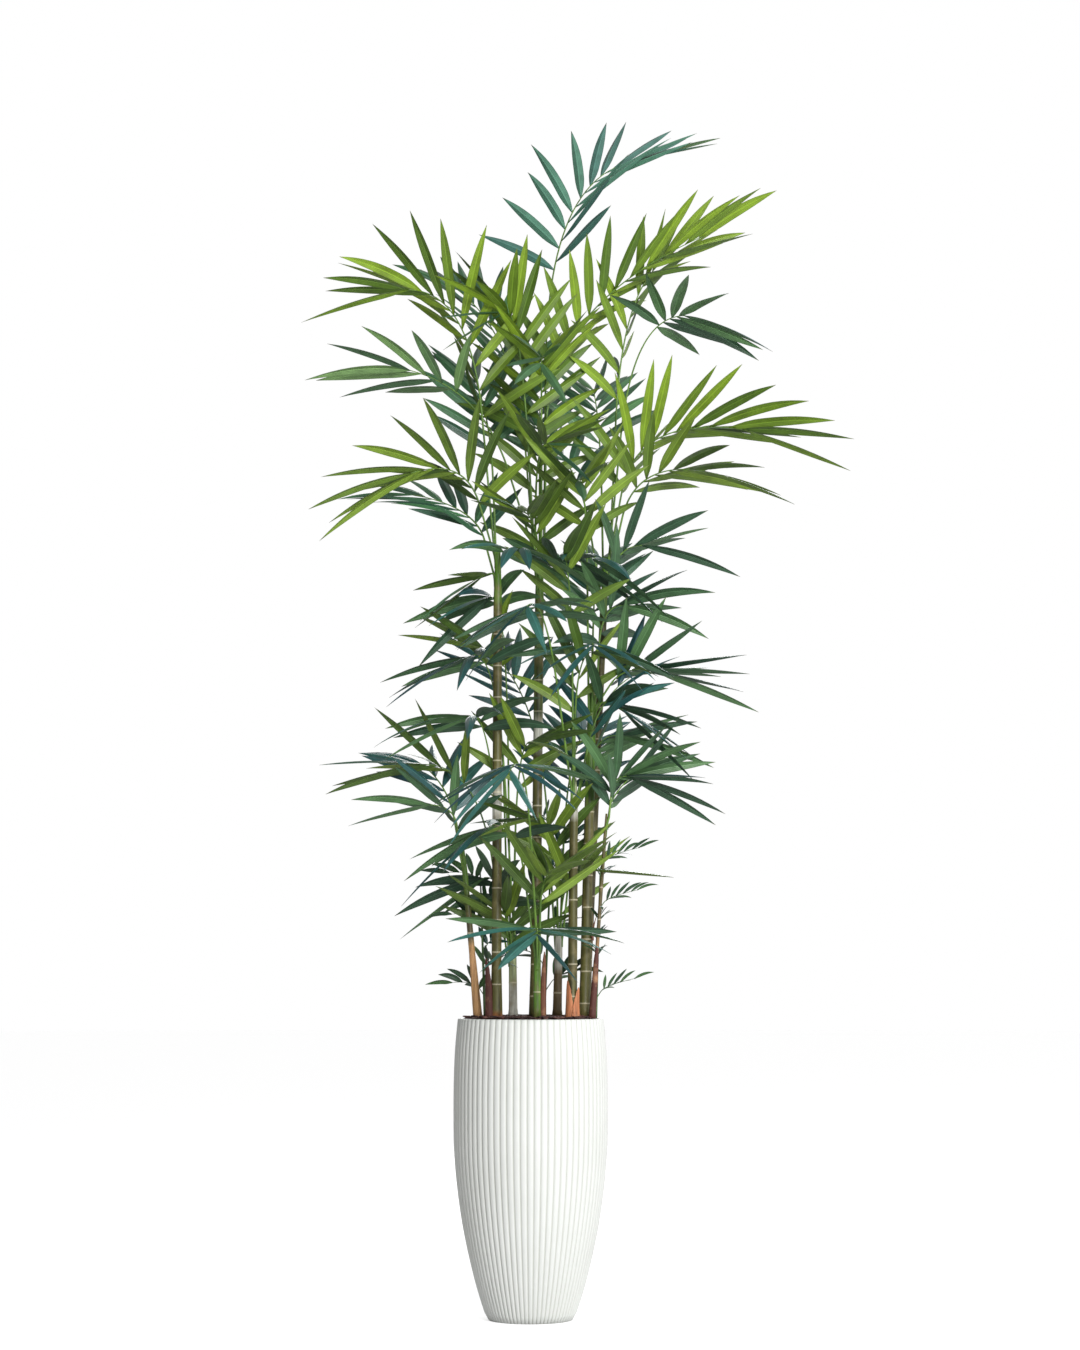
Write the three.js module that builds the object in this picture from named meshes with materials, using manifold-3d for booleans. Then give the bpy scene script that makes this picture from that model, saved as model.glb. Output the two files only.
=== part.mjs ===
// A clump of slender palm canes with arching, feather-leaved fronds, planted in a tall reeded pot.
// Millimetres, +Z up. The origin is the centre of the pot's flat underside.
// +X is the viewer's right and -Y is towards the viewer.
import * as THREE from "three";
import { mergeVertices } from "three/addons/utils/BufferGeometryUtils.js";
import Module from "manifold-3d";

const wasm = await Module();
wasm.setup();

// The pot: its outline as [radius, height], from the foot up
const potHeight = 670;
const potOutline = [
  [94, 0],
  [104, 18],
  [129, 100],
  [155, 220],
  [171, 350],
  [174, 480],
  [171.5, 590],
  [165, potHeight],
];
const reedCount = 70;
const grooveDepth = 3;
const potWall = 9;
const liningHeights = [20, 100, 350, 480, potHeight];
const liningSides = 36;

// The filling of potting mix
const soilTop = potHeight;
const soilFlatRadius = 149;
const soilEdgeDrop = 10;

// Clearances between neighbouring solids
const seatGap = 0.3;
const wallGap = 0.6;
const ribGap = 0.4;
const leafletGap = 1;

// Vertices closer than this are one, and slivers finer than this are dropped.
const mergeDistance = 1e-4;
const finestEdge = 0.02;

// Canes: a flare at the foot and a drawn-in top, as shares of the cane's height and radius
const caneSides = 8;
const caneSteps = 9;
const caneTopShare = 0.84;
const flareHeight = 1 / 9;
const flareSpread = 0.25;
const drawnFrom = 0.88;
const drawnShare = 0.6;
const huskHalfWidth = 8;
const huskFlatness = 0.7;
const huskTipShare = 0.25;
const huskSides = 6;
const huskSteps = 3;

// Ribs of the fronds, and of the small fronds of seedlings
const ribSides = 3;
const ribSteps = 7;
const ribFootRadius = 4;
const ribTipRadius = 2;
const sprayRibSteps = 3;
const sprayRibShare = 0.5;
const seedlingTopShare = 0.45;
const firstDrop = 8;
const dropStep = 14;
const seatsTried = [0, 20, -20, 40, -40, 60, -60, 80, -80, 100, -100, 120, -120];
const faceTurn = 28;
const sprayFaceTurn = 50;

// Leaflets along the rib
const pairStagger = 0.35;
const lastPairAt = 0.985;
const spreadVaries = 5;
const liftVaries = 7;
const turnsTried = [0, 8, -8, 16, -16, 24, -24, 32, -32];

// The blade of a leaflet
const firstLeafShare = 0.84;
const leafVaries = 0.06;
const leafletHalfWidth = 15;
const fullWidthLength = 200;
const leafletThickness = 2.5;
const ridgeShare = 0.6;
const leafletRootDepth = 0.6;
const leafletWidest = 0.42;

// How a frond's leaflets stand. Spread from the rib and lift from its level are in degrees, from
// the first pair's to the last one's. Sag is a share of a leaflet's length, and spacing is the
// distance between two pairs. A plume's leaflets stand up, a fan's and a crest's less so, a star's
// lie flat round a short hub, and a hand's hang down from one like fingers.
const plume = { spread: [56, 15], lift: [36, 4], sag: 0.09, spacing: 42 };
const crest = { spread: [60, 18], lift: [24, 2], sag: 0.07, spacing: 45 };
const fan = { spread: [58, 16], lift: [18, -6], sag: 0.13, spacing: 34 };
const star = { spread: [88, 20], lift: [12, -8], sag: 0.14, spacing: 24 };
const hand = { spread: [80, 28], lift: [-8, -18], sag: 0.24, spacing: 26 };
const spray = { spread: [54, 17], lift: [36, 4], sag: 0.13, spacing: 18 };

// Each cane: foot [x, y] on the soil, tip [x, y, z], radius above the foot, and its fronds. Young
// fronds are fused to the cane, as their feet are still inside it.
// A frond: [heading, rise, lean, reach, dip, leaf, pairs, habit].
// heading is where it arches to, 0 being right, 90 away from the viewer and 270 towards the viewer.
// It rises by rise, leaning out by lean, and then bends over. Its end is reach out from its seat
// and dip below the bend, or above it where dip is negative.
// leaf is the length of its longest leaflets, pairs the number of pairs, and habit how they stand.
const canes = [
  {
    name: "left_cane",
    foot: [-77, -45],
    tip: [-75, -38, 1743],
    radius: 11.5,
    husk: { at: [-14, -5], lean: [-4, -3], height: 135 },
    fronds: [
      [205, 600, 60, 220, 20, 250, 8, plume],
      [195, 230, 70, 200, 50, 255, 7, fan],
      [305, 30, 20, 90, 10, 200, 4, hand],
      [110, 360, 40, 150, -100, 210, 6, fan],
      [150, 160, 50, 220, -40, 210, 6, fan],
    ],
    young: [
      [215, 20, 20, 70, 30, 200, 3, hand],
    ],
  },
  {
    name: "middle_cane",
    foot: [10, 25],
    tip: [21, 20, 1761],
    radius: 12,
    husk: { at: [14, -10], lean: [4, -2], height: 75 },
    fronds: [
      [25, 850, 10, 220, -75, 250, 9, crest],
      [345, 575, 10, 380, -140, 220, 10, plume],
      [200, 385, 130, 310, -30, 230, 5, fan],
      [270, 530, 20, 210, 110, 210, 8, plume],
      [285, 320, 20, 150, 60, 210, 7, fan],
      [140, 580, 60, 250, -130, 210, 7, plume],
      [90, 340, 60, 260, -130, 210, 6, fan],
      [240, 650, 80, 150, 40, 220, 6, plume],
    ],
    young: [
      [255, 170, 20, 140, 0, 210, 6, fan],
      [320, 100, 20, 160, 20, 210, 5, hand],
    ],
  },
  {
    name: "right_cane",
    foot: [124, 34],
    tip: [173, 40, 1727],
    radius: 10,
    fronds: [
      [355, 650, 30, 140, -60, 210, 8, plume],
      [325, 580, 70, 215, 20, 210, 4, star],
      [345, 370, 70, 330, 50, 250, 9, plume],
      [330, 270, 70, 250, 40, 240, 5, fan],
      [350, 90, 30, 80, 0, 220, 4, fan],
      [150, 320, 60, 200, -100, 210, 6, fan],
      [95, 430, 60, 220, -100, 210, 6, fan],
    ],
  },
  {
    name: "olive_cane",
    foot: [121, -22],
    tip: [140, -14, 1415],
    radius: 12.5,
    fronds: [
      [350, 200, 10, 60, 0, 220, 5, hand],
      [270, 140, 20, 130, 30, 220, 4, hand],
      [350, 90, 60, 130, 10, 240, 6, fan],
      [330, 30, 20, 70, 30, 230, 4, fan],
      [260, 560, 30, 150, 40, 210, 6, fan],
      [85, 320, 60, 220, -90, 210, 7, fan],
    ],
  },
  {
    name: "sheathed_cane",
    foot: [93, -60],
    tip: [98, -56, 1210],
    radius: 11,
    husk: { at: [-11, -9], lean: [5, -2], height: 80 },
    fronds: [
      [260, 460, 20, 120, -40, 200, 5, fan],
      [250, 430, 180, 290, 50, 215, 5, hand],
      [20, 220, 50, 130, -50, 200, 5, fan],
    ],
    young: [
      [300, 330, 10, 80, 0, 220, 5, fan],
    ],
  },
  {
    name: "pale_shoot",
    foot: [-40, 42],
    tip: [-42, 44, 880],
    radius: 10,
    fronds: [
      [200, 780, 10, 50, 20, 200, 4, hand],
      [230, 650, 60, 145, 20, 220, 4, hand],
      [195, 660, 20, 60, -10, 200, 4, fan],
      [235, 530, 80, 140, 10, 230, 4, hand],
      [190, 430, 70, 190, 0, 240, 5, fan],
    ],
    young: [
      [290, 500, 30, 120, 10, 200, 5, fan],
      [200, 210, 30, 70, 10, 210, 4, hand],
      [250, 130, 20, 80, -10, 210, 5, fan],
    ],
  },
  {
    name: "brown_cane",
    foot: [60, 30],
    tip: [64, 32, 869],
    radius: 10.5,
    fronds: [
      [340, 450, 50, 130, 0, 220, 5, fan],
      [75, 410, 60, 220, -80, 215, 6, fan],
      [125, 570, 60, 240, -110, 210, 6, fan],
    ],
    young: [
      [250, 300, 20, 140, 0, 210, 6, fan],
      [310, 200, 20, 100, 0, 220, 6, fan],
    ],
  },
  {
    name: "green_shoot",
    foot: [14, -78],
    tip: [15, -80, 858],
    radius: 8.5,
    fronds: [
      [262, 430, 190, 400, 80, 210, 5, hand],
      [220, 290, 50, 130, 30, 220, 4, hand],
      [280, 150, 10, 110, -20, 250, 6, fan],
      [270, 80, 20, 110, 30, 230, 3, hand],
    ],
  },
  {
    name: "leaning_cane",
    foot: [-119, -8],
    tip: [-154, -12, 1050],
    radius: 7.5,
    fronds: [
      [190, 110, 10, 70, 0, 190, 4, fan],
      [130, 180, 50, 160, -50, 190, 5, fan],
    ],
  },
  {
    name: "thin_stem",
    foot: [138, -52],
    tip: [171, -58, 1130],
    radius: 4.5,
    fronds: [
      [345, 100, 10, 50, 10, 230, 6, fan],
      [355, 70, 10, 80, -60, 180, 5, fan],
    ],
  },
];

// A seedling is a thin stem with small fronds fused to it, all of one size,
// each given as [height above the soil, heading].
const seedlings = [
  {
    name: "seedling_left",
    foot: [-104, 38],
    tip: [-116, 44, 1010],
    radius: 3.5,
    spray: { rise: 35, lean: 22, reach: 75, dip: 5, leaf: 66, pairs: 4 },
    sprays: [
      [300, 190],
      [205, 200],
      [50, 182],
    ],
  },
  {
    name: "seedling_right",
    foot: [147, 2],
    tip: [158, -8, 1010],
    radius: 3.5,
    spray: { rise: 30, lean: 20, reach: 90, dip: -15, leaf: 50, pairs: 4 },
    sprays: [
      [340, 350],
      [245, 355],
      [45, 352],
    ],
  },
  {
    name: "seedling_back",
    foot: [30, 88],
    tip: [50, 100, 1110],
    radius: 3.5,
    spray: { rise: 40, lean: 28, reach: 75, dip: -10, leaf: 68, pairs: 3 },
    sprays: [
      [425, 120],
      [320, 60],
      [180, 330],
    ],
  },
];

const colours = {
  pot: 0xeceeea,
  soil: 0x3f2c2a,
  cane: 0x66682f,
  seedling: 0x7d9a4a,
  frond: 0x2f5a2c,
};

const { degToRad: radians, lerp: mix } = THREE.MathUtils;
const vector = (x, y, z) => new THREE.Vector3(x, y, z);
const group = new THREE.Group();

// A geometry as a solid that can be joined and cut, turned to face outwards.
function solidOf(geometry) {
  const bare = geometry.clone();
  bare.deleteAttribute("normal");
  bare.deleteAttribute("uv");
  const merged = mergeVertices(bare, mergeDistance);
  const triVerts = new Uint32Array(merged.index.array);
  const vertProperties = merged.attributes.position.array;
  const made = new wasm.Manifold(new wasm.Mesh({ numProp: 3, vertProperties, triVerts }));
  if (made.volume() > 0) return made;
  triVerts.reverse();
  return new wasm.Manifold(new wasm.Mesh({ numProp: 3, vertProperties, triVerts }));
}

function addMesh(name, solid, color, roughness) {
  const { vertProperties, triVerts } = solid.simplify(finestEdge).getMesh();
  const geometry = new THREE.BufferGeometry();
  geometry.setAttribute("position", new THREE.BufferAttribute(vertProperties, 3));
  geometry.setIndex(new THREE.BufferAttribute(triVerts, 1));
  geometry.computeVertexNormals();
  const material = new THREE.MeshStandardMaterial({ color, roughness, metalness: 0 });
  const mesh = new THREE.Mesh(geometry, material);
  mesh.name = name;
  group.add(mesh);
}

// A profile of [radius, height] points turned about the Z axis.
function turned(profile, sides) {
  const points = profile.map(([r, z]) => new THREE.Vector2(r, z));
  return new THREE.LatheGeometry(points, sides).rotateX(Math.PI / 2);
}

// A bar along a path. The path gives a place and two directions across it at a share of the
// way, and radiusAt the radius there.
function bar(path, radiusAt, sides, steps) {
  const geometry = new THREE.CylinderGeometry(1, 1, 1, sides, steps);
  const position = geometry.attributes.position;
  for (let i = 0; i < position.count; i += 1) {
    const share = position.getY(i) + 0.5;
    const { at, side, up } = path(share);
    const radius = radiusAt(share);
    const point = at.clone();
    point.addScaledVector(side, position.getX(i) * radius);
    point.addScaledVector(up, position.getZ(i) * radius);
    position.setXYZ(i, point.x, point.y, point.z);
  }
  return solidOf(geometry);
}

// The unit vector at a heading and an angle above the horizon.
function direction(heading, rise) {
  const flat = Math.cos(radians(rise));
  const sine = Math.sin(radians(rise));
  return vector(flat * Math.cos(radians(heading)), flat * Math.sin(radians(heading)), sine);
}

// A repeatable row of numbers from 0 to 1.
function numbersFrom(seed) {
  const factor = 1664525;
  const offset = 1013904223;
  const limit = 2 ** 32;
  let state = seed;
  return () => {
    state = (state * factor + offset) % limit;
    return state / limit;
  };
}

// Solids that are already in place, each with its owner and its box.
const placed = [];

function place(solid, owner) {
  placed.push({ solid, owner, box: solid.boundingBox() });
}

function isClear(solid, owner) {
  const box = solid.boundingBox();
  return placed.every((other) => {
    if (other.owner === owner) return true;
    for (let axis = 0; axis < 3; axis += 1) {
      const isApart = other.box.min[axis] > box.max[axis] || other.box.max[axis] < box.min[axis];
      if (isApart) return true;
    }
    return solid.intersect(other.solid).isEmpty();
  });
}

// Pot: a reeded outer wall, every other meridian being a groove, with the cavity cut out of it
function outlineRadius(height) {
  const above = potOutline.findIndex(([, z]) => z >= height);
  const [upperRadius, upperHeight] = potOutline[above];
  const [lowerRadius, lowerHeight] = potOutline[Math.max(0, above - 1)];
  const share = above === 0 ? 1 : (height - lowerHeight) / (upperHeight - lowerHeight);
  return mix(lowerRadius, upperRadius, share);
}

function reededWall() {
  const geometry = turned([[0, 0], ...potOutline, [0, potHeight]], 2 * reedCount);
  const position = geometry.attributes.position;
  const levels = potOutline.length + 2;
  for (let i = 0; i < position.count; i += 1) {
    const isGroove = Math.floor(i / levels) % 2 === 1;
    const radius = Math.hypot(position.getX(i), position.getY(i));
    if (!isGroove || radius < grooveDepth) continue;
    const share = (radius - grooveDepth) / radius;
    position.setXYZ(i, position.getX(i) * share, position.getY(i) * share, position.getZ(i));
  }
  return solidOf(geometry);
}

function liningPoints(inset) {
  return liningHeights.map((z) => [outlineRadius(z) - grooveDepth - potWall - inset, z]);
}

function cavity() {
  const points = liningPoints(0);
  const rimRadius = points[points.length - 1][0];
  const clearOfRim = potHeight + potWall;
  const profile = [[0, liningHeights[0]], ...points, [rimRadius, clearOfRim], [0, clearOfRim]];
  return solidOf(turned(profile, liningSides));
}

function filling() {
  const wall = liningPoints(wallGap).slice(1, -1);
  const floorHeight = liningHeights[0] + wallGap;
  const floorRadius = liningPoints(2 * wallGap)[0][0];
  const rimRadius = liningPoints(wallGap)[liningHeights.length - 1][0];
  const profile = [[0, floorHeight], [floorRadius, floorHeight], ...wall];
  profile.push([rimRadius, soilTop - soilEdgeDrop], [soilFlatRadius, soilTop], [0, soilTop]);
  return solidOf(turned(profile, liningSides));
}

addMesh("pot", reededWall().subtract(cavity()), colours.pot, 0.55);
const soil = filling();
place(soil, "soil");
addMesh("soil", soil, colours.soil, 0.95);

// Canes: flared at the foot, even along the stem and drawn in at the top
function caneAxis(cane) {
  const foot = vector(...cane.foot, soilTop + seatGap);
  const tip = vector(...cane.tip);
  return (t) => ({ at: foot.clone().lerp(tip, t), side: vector(1, 0, 0), up: vector(0, -1, 0) });
}

function caneRadius(cane) {
  const { radius } = cane;
  return (t) => {
    const flare = radius * flareSpread * Math.max(0, 1 - t / flareHeight);
    const draw = mix(1, drawnShare, Math.max(0, (t - drawnFrom) / (1 - drawnFrom)));
    return (mix(radius, radius * caneTopShare, t) + flare) * draw;
  };
}

// A husk is the dry base of an old leaf, a point that clings to the cane's foot.
function huskSolid(cane) {
  const { at, lean, height } = cane.husk;
  const foot = vector(cane.foot[0] + at[0], cane.foot[1] + at[1], soilTop + seatGap);
  const path = (t) => {
    const point = foot.clone().add(vector(lean[0] * t * t, lean[1] * t * t, height * t));
    return { at: point, side: vector(1, 0, 0), up: vector(0, -huskFlatness, 0) };
  };
  return bar(path, (t) => huskHalfWidth * mix(1, huskTipShare, t * t), huskSides, huskSteps);
}

function caneSolid(cane) {
  const bare = bar(caneAxis(cane), caneRadius(cane), caneSides, caneSteps);
  return cane.husk ? bare.add(huskSolid(cane)) : bare;
}

// Fronds: a rib of three sides that rises straight and then arches, and leaflets along its arch.
// At a share of the way along it, side is square to the path and turned about it from level, and
// up is the path's upper side.
function frondPath(seat, frond, turn, steps) {
  const { heading, rise, lean, reach, dip } = frond;
  const out = direction(heading, 0);
  const up = vector(0, 0, 1);
  const bend = seat.clone().addScaledVector(out, lean).addScaledVector(up, rise);
  const end = seat.clone().addScaledVector(out, reach).addScaledVector(up, rise - dip);
  const spring = seat.clone().lerp(bend, 0.5);
  const isAway = heading > 0 && heading < 180;
  const roll = radians(turn * Math.cos(radians(heading)) * (isAway ? 1 : -1));
  return (share) => {
    const t = Math.max(0, (share * steps - 1) / (steps - 1));
    const at = seat.clone().lerp(spring, Math.min(1, share * steps));
    at.multiplyScalar((1 - t) * (1 - t));
    at.addScaledVector(bend, 2 * t * (1 - t)).addScaledVector(end, t * t);
    const along = bend.clone().sub(spring).multiplyScalar(1 - t);
    along.addScaledVector(end.clone().sub(bend), t).normalize();
    const side = direction(heading + 90, 0).applyAxisAngle(along, roll);
    return { at, along, side, up: along.clone().cross(side).normalize() };
  };
}

// The same path as the straight pieces that a bar of some steps is made of.
function piecewise(path, steps) {
  return (t) => {
    const step = Math.min(steps - 1, Math.floor(t * steps));
    const at = path(step / steps).at.lerp(path((step + 1) / steps).at, t * steps - step);
    return { ...path(t), at };
  };
}

// The length of a path from a share of the way to its end.
function lengthFrom(path, share) {
  const parts = 20;
  let length = 0;
  for (let i = 0; i < parts; i += 1) {
    const from = path(mix(share, 1, i / parts)).at;
    length += from.distanceTo(path(mix(share, 1, (i + 1) / parts)).at);
  }
  return length;
}

// Leaflets leave the rib in staggered pairs. Those near its end are spread and lifted less.
function leafletPlans(path, frond, steps, seed) {
  const { leaf, pairs, habit } = frond;
  const archFrom = 1 / steps;
  const leafyShare = Math.min(1, (pairs * habit.spacing) / lengthFrom(path, archFrom));
  const next = numbersFrom(seed);
  const vary = (amount) => amount * (2 * next() - 1);
  const plans = [];
  for (let k = 0; k < pairs; k += 1) {
    for (const way of [1, -1]) {
      const stagger = way === 1 ? 0 : pairStagger;
      const u = Math.min(1, (k + stagger) / (pairs - 1));
      const frame = path(mix(1 - leafyShare * (1 - archFrom), lastPairAt, u));
      const spread = radians(mix(...habit.spread, u) + vary(spreadVaries));
      const lift = radians(mix(...habit.lift, u) + vary(liftVaries));
      const length = leaf * mix(firstLeafShare, 1, Math.min(1, 2 * u)) * (1 + vary(leafVaries));
      plans.push({ frame, way, spread, lift, length, sag: habit.sag });
    }
  }
  return plans;
}

// A leaflet is a thin blade of six faces, ridged above: a root inside the rib, a widest place
// and a fine tip. turn lifts it further, and spare makes it larger all round.
function leafletSolid(plan, turn, spare) {
  const { frame, way, spread, length } = plan;
  const lift = plan.lift + radians(turn);
  const outward = frame.side.clone().multiplyScalar(way * Math.cos(lift));
  outward.addScaledVector(frame.up, Math.sin(lift));
  const along = frame.along.clone().multiplyScalar(Math.cos(spread));
  along.addScaledVector(outward, Math.sin(spread)).normalize();
  const face = frame.up.clone().multiplyScalar(Math.cos(lift));
  face.addScaledVector(frame.side, -way * Math.sin(lift));
  face.addScaledVector(along, -face.dot(along)).normalize();
  const across = along.clone().cross(face).normalize();
  const halfWidth = leafletHalfWidth * Math.min(1, length / fullWidthLength) + spare;
  const thickness = leafletThickness + 2 * spare;
  const sag = vector(0, 0, -length * plan.sag);

  const geometry = new THREE.SphereGeometry(1, 3, 2);
  const position = geometry.attributes.position;
  for (let i = 0; i < position.count; i += 1) {
    const end = Math.round(position.getY(i));
    const point = frame.at.clone();
    if (end === -1) {
      point.addScaledVector(along, -leafletRootDepth / Math.sin(spread));
    } else if (end === 1) {
      point.addScaledVector(along, length + spare).add(sag);
    } else {
      const isRidge = position.getX(i) < 0;
      const edge = Math.sign(Math.round(position.getZ(i)));
      point.addScaledVector(along, length * leafletWidest);
      point.addScaledVector(sag, leafletWidest * leafletWidest);
      point.addScaledVector(across, edge * halfWidth);
      point.addScaledVector(face, (isRidge ? ridgeShare : ridgeShare - 1) * thickness);
    }
    position.setXYZ(i, point.x, point.y, point.z);
  }
  return solidOf(geometry);
}

function withLeaflets(rib, plans, name) {
  let whole = rib;
  for (const plan of plans) {
    const turn = turnsTried.find((degrees) => isClear(leafletSolid(plan, degrees, leafletGap), name));
    if (turn === undefined) continue;
    const leaflet = leafletSolid(plan, turn, 0);
    place(leaflet, name);
    whole = whole.add(leaflet);
  }
  return whole;
}

const ribRadius = (share) => mix(ribFootRadius, ribTipRadius, share);

function ribSolid(path, spare) {
  return bar(path, (share) => ribRadius(share) + spare, ribSides, ribSteps);
}

function frondOf([heading, rise, lean, reach, dip, leaf, pairs, habit]) {
  return { heading, rise, lean, reach, dip, leaf, pairs, habit };
}

// The share of the way up a cane at which its frond number n leaves it, counted from the tip.
function seatShare(cane, n) {
  return 1 - (firstDrop + dropStep * n) / (cane.tip[2] - soilTop);
}

// A rib's foot ends 0.3 mm clear of its cane, on the first side where the rib touches nothing.
function ribPath(cane, frond, n) {
  const t = seatShare(cane, n);
  const farOut = caneRadius(cane)(t) + 2 * ribFootRadius;
  const pathFrom = (side, distance) => {
    const seat = caneAxis(cane)(t).at.addScaledVector(direction(frond.heading + side, 0), distance);
    return frondPath(seat, frond, faceTurn, ribSteps);
  };
  for (const side of seatsTried) {
    const gap = ribSolid(pathFrom(side, farOut), 0).minGap(caneSolid(cane), farOut);
    const path = pathFrom(side, farOut - gap + seatGap);
    const isFree = isClear(ribSolid(path, 0), "") && isClear(ribSolid(path, ribGap), cane.name);
    if (isFree) return path;
  }
  throw new Error(`frond ${n + 1} of ${cane.name} has no clear side to leave from`);
}

// Every rib is placed before the leaflets, which then keep clear of all of them.
const planned = [];

for (const cane of canes) place(caneSolid(cane), cane.name);

for (const seedling of seedlings) {
  const axis = caneAxis(seedling);
  const stemRadius = (t) => seedling.radius * mix(1, seedlingTopShare, t);
  const sprayRadius = (t) => ribRadius(t) * sprayRibShare;
  let whole = bar(axis, stemRadius, huskSides, huskSteps);
  const plans = [];
  for (const [height, heading] of seedling.sprays) {
    const frond = { heading, habit: spray, ...seedling.spray };
    const seat = axis(height / (seedling.tip[2] - soilTop)).at;
    const path = frondPath(seat, frond, sprayFaceTurn, sprayRibSteps);
    whole = whole.add(bar(path, sprayRadius, ribSides, sprayRibSteps));
    plans.push(...leafletPlans(piecewise(path, sprayRibSteps), frond, sprayRibSteps, heading));
  }
  place(whole, seedling.name);
  planned.push({ name: seedling.name, rib: whole, plans, colour: colours.seedling });
}

for (const cane of canes) {
  let whole = caneSolid(cane);
  const plans = [];
  (cane.young ?? []).map(frondOf).forEach((frond, n) => {
    const seat = caneAxis(cane)(seatShare(cane, cane.fronds.length + n)).at;
    const path = frondPath(seat, frond, faceTurn, ribSteps);
    const rib = ribSolid(path, 0);
    if (!isClear(rib, cane.name)) throw new Error(`young frond ${n + 1} of ${cane.name} touches`);
    place(rib, cane.name);
    whole = whole.add(rib);
    plans.push(...leafletPlans(piecewise(path, ribSteps), frond, ribSteps, frond.heading));
  });
  planned.push({ name: cane.name, rib: whole, plans, colour: colours.cane });
}

for (const cane of canes) {
  cane.fronds.map(frondOf).forEach((frond, n) => {
    const name = `${cane.name}_frond_${n + 1}`;
    const path = ribPath(cane, frond, n);
    const rib = ribSolid(path, 0);
    place(rib, name);
    const seed = planned.length + 1;
    const plans = leafletPlans(piecewise(path, ribSteps), frond, ribSteps, seed);
    planned.push({ name, rib, plans, colour: colours.frond });
  });
}

for (const { name, rib, plans, colour } of planned) {
  addMesh(name, withLeaflets(rib, plans, name), colour, 0.5);
}

export default group;
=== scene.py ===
# %% [markdown]
# # A clump of palm canes in a reeded pot
#
# The object is a decorator's palm about 2.8 m high: ten slender canes and three seedlings in a
# tall white pot with upright reeds. Each cane carries a few fronds, and a frond is a thin rib with
# long narrow leaflets on both sides. Canes, ribs and leaves already exist as plain solids. This
# lesson keeps their places and gives every piece its fine shape and its finish.

# %% The solids and the box they fill
import random
from collections import namedtuple
from functools import cache
from math import atan2, cos, exp, hypot, pi, radians, sin, sqrt

import bmesh
import bpy
from mathutils import Matrix, Quaternion, Vector
from mathutils.bvhtree import BVHTree


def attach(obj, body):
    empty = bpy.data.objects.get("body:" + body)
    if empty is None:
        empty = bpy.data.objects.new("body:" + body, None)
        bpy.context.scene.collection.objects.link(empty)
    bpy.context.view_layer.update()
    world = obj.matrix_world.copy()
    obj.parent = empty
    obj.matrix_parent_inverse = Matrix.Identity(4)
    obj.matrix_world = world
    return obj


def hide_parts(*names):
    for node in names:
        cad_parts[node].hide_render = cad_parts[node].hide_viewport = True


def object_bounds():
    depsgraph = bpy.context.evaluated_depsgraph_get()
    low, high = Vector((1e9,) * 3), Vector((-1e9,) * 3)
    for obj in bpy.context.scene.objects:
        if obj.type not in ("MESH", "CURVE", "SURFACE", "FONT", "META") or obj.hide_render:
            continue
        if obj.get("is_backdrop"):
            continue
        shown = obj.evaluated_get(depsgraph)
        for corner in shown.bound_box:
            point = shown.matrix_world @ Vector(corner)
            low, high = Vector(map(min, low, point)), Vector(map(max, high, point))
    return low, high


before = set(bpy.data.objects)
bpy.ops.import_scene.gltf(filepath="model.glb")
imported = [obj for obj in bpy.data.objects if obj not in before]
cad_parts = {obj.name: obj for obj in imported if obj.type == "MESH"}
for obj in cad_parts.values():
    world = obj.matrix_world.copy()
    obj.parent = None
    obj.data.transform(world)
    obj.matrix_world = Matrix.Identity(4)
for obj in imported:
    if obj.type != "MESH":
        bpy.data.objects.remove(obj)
cad_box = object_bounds()
print("solids:", len(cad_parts), "box:", [tuple(corner) for corner in cad_box])

# %% [markdown]
# ## Camera
#
# The product picture was taken from about the pot's rim, with the camera tipped up a little so
# that the whole height fits. A long lens keeps the pot's sides nearly parallel. The camera is set
# by its place, its tilt and its lens, with no shift, so other views can reuse it.

# %% Camera
CAMERA_PLACE = (0.021, -6.8, 0.79)
CAMERA_TILT = 5.543
CAMERA_LENS = 79.7


def new_object(name, data):
    """Puts an object with some data in the scene."""
    made = bpy.data.objects.new(name, data)
    bpy.context.scene.collection.objects.link(made)
    return made


camera = new_object("studio_camera", bpy.data.cameras.new("studio_camera"))
camera.data.lens = CAMERA_LENS
camera.location = CAMERA_PLACE
camera.rotation_euler = (radians(90 + CAMERA_TILT), 0, 0)
bpy.context.scene.camera = camera
print("camera", round(camera.data.lens, 1), "mm, tilted up", CAMERA_TILT, "degrees")

# %% [markdown]
# ## Small tools
#
# Most pieces below are made in the same way. A template with few faces is made once by bmesh
# operators, such as a unit rod or a flat blade. A copy of it is then bent into its place, vertex
# by vertex, by a function of its place on the template. That keeps the meshes closed and light,
# and it is how the same leaflet can be used some hundreds of times.

# %% Tools for templates, copies and finished pieces
def mix(start, end, share):
    return start + (end - start) * share


def mesh_of(name, bm):
    """Keeps a bmesh as a mesh, for an object or as a template."""
    mesh = bpy.data.meshes.new(name)
    bm.to_mesh(mesh)
    bm.free()
    return mesh


def add_copy(bm, template, place):
    """Adds a copy of a template, each vertex moved to where place puts it, and returns them."""
    first = len(bm.verts)
    bm.from_mesh(template)
    bm.verts.ensure_lookup_table()
    added = bm.verts[first:]
    for vert in added:
        vert.co = place(vert.co)
    return added


def finished_piece(name, bm, materials, nodes=()):
    """Makes the bmesh an object that rides with the plant and stands for some solids."""
    mesh = mesh_of(name, bm)
    for material in materials:
        mesh.materials.append(material)
    piece = new_object(name, mesh)
    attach(piece, "root")
    if nodes:
        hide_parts(*nodes)
    print(name, sum(len(face.vertices) - 2 for face in mesh.polygons), "triangles")
    return piece


def smooth_faces(bm):
    for face in bm.faces:
        face.smooth = True


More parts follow.
